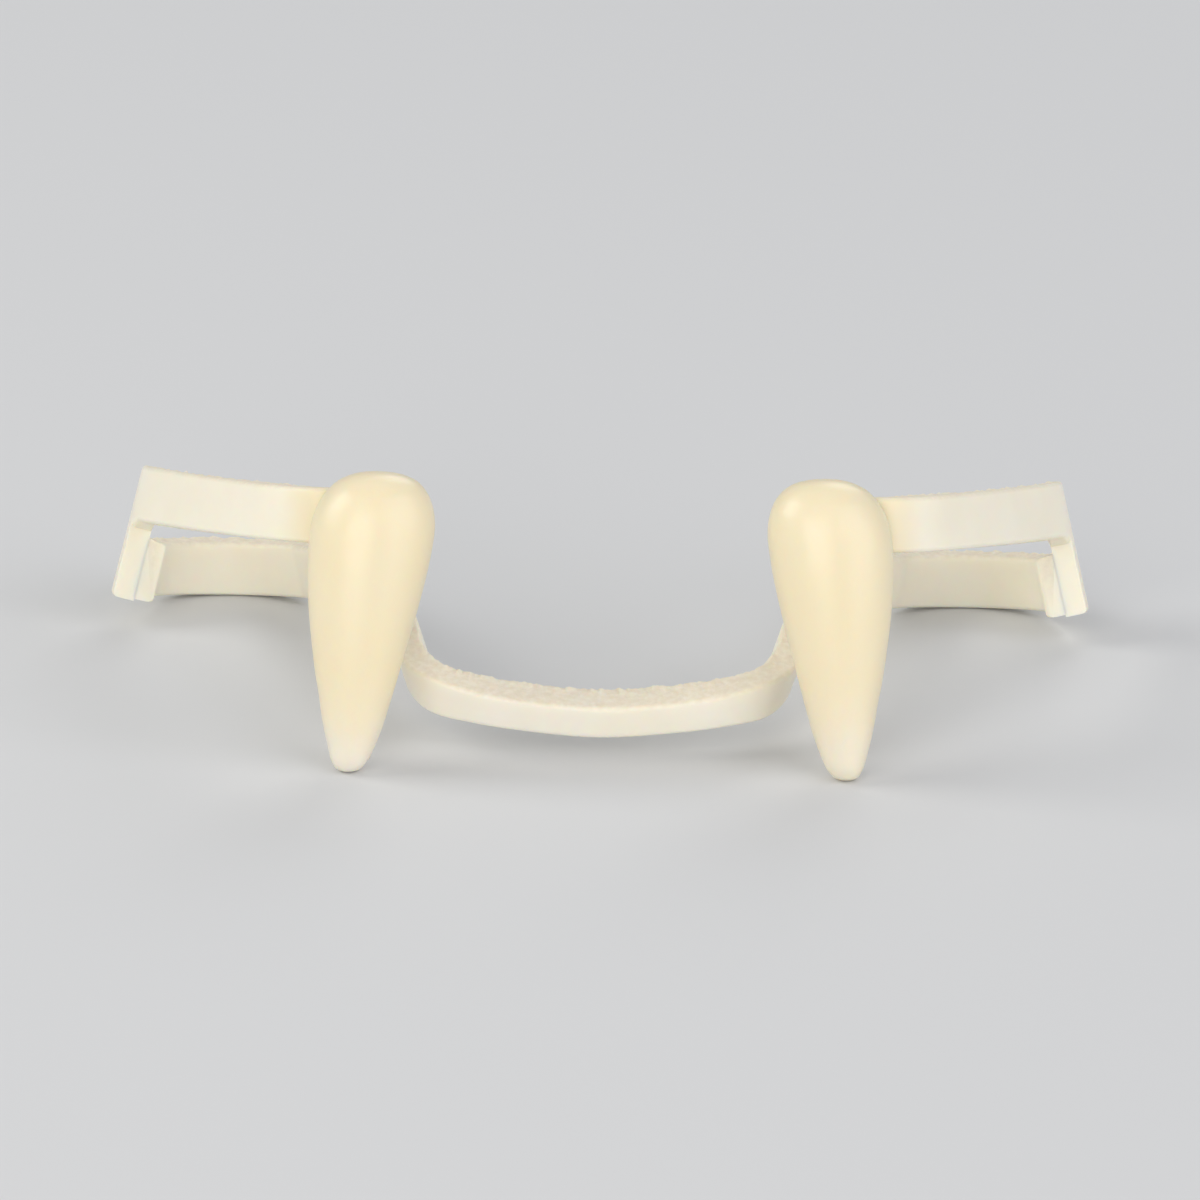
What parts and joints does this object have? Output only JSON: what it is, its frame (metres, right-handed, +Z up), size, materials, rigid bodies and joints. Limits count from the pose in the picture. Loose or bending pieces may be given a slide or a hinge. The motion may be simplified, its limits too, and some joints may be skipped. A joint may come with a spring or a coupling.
{
  "type": "vampire fang denture",
  "caption": "Cream plastic vampire fang denture: long fangs on arms that run back along the cheek side of the teeth, with a molar loop each side and a tongue bar across between the fangs.",
  "frame": {"origin": "middle of the footprint, on the surface that the denture rests on", "axes": "+X to the right as seen from the front, +Y from the lips to the throat, +Z up"},
  "size_m": [0.073, 0.0368, 0.0209],
  "materials": {
    "fang_plastic": "deep cream moulded plastic, satin gloss, slightly translucent",
    "strip_plastic": "paler cream moulded plastic, satin gloss, more translucent where it is thin"
  },
  "bodies": {
    "root": {"left_fang": "fang_plastic", "right_fang": "fang_plastic", "left_arm": "strip_plastic", "right_arm": "strip_plastic", "tongue_bar": "strip_plastic"}
  },
  "joints": []
}
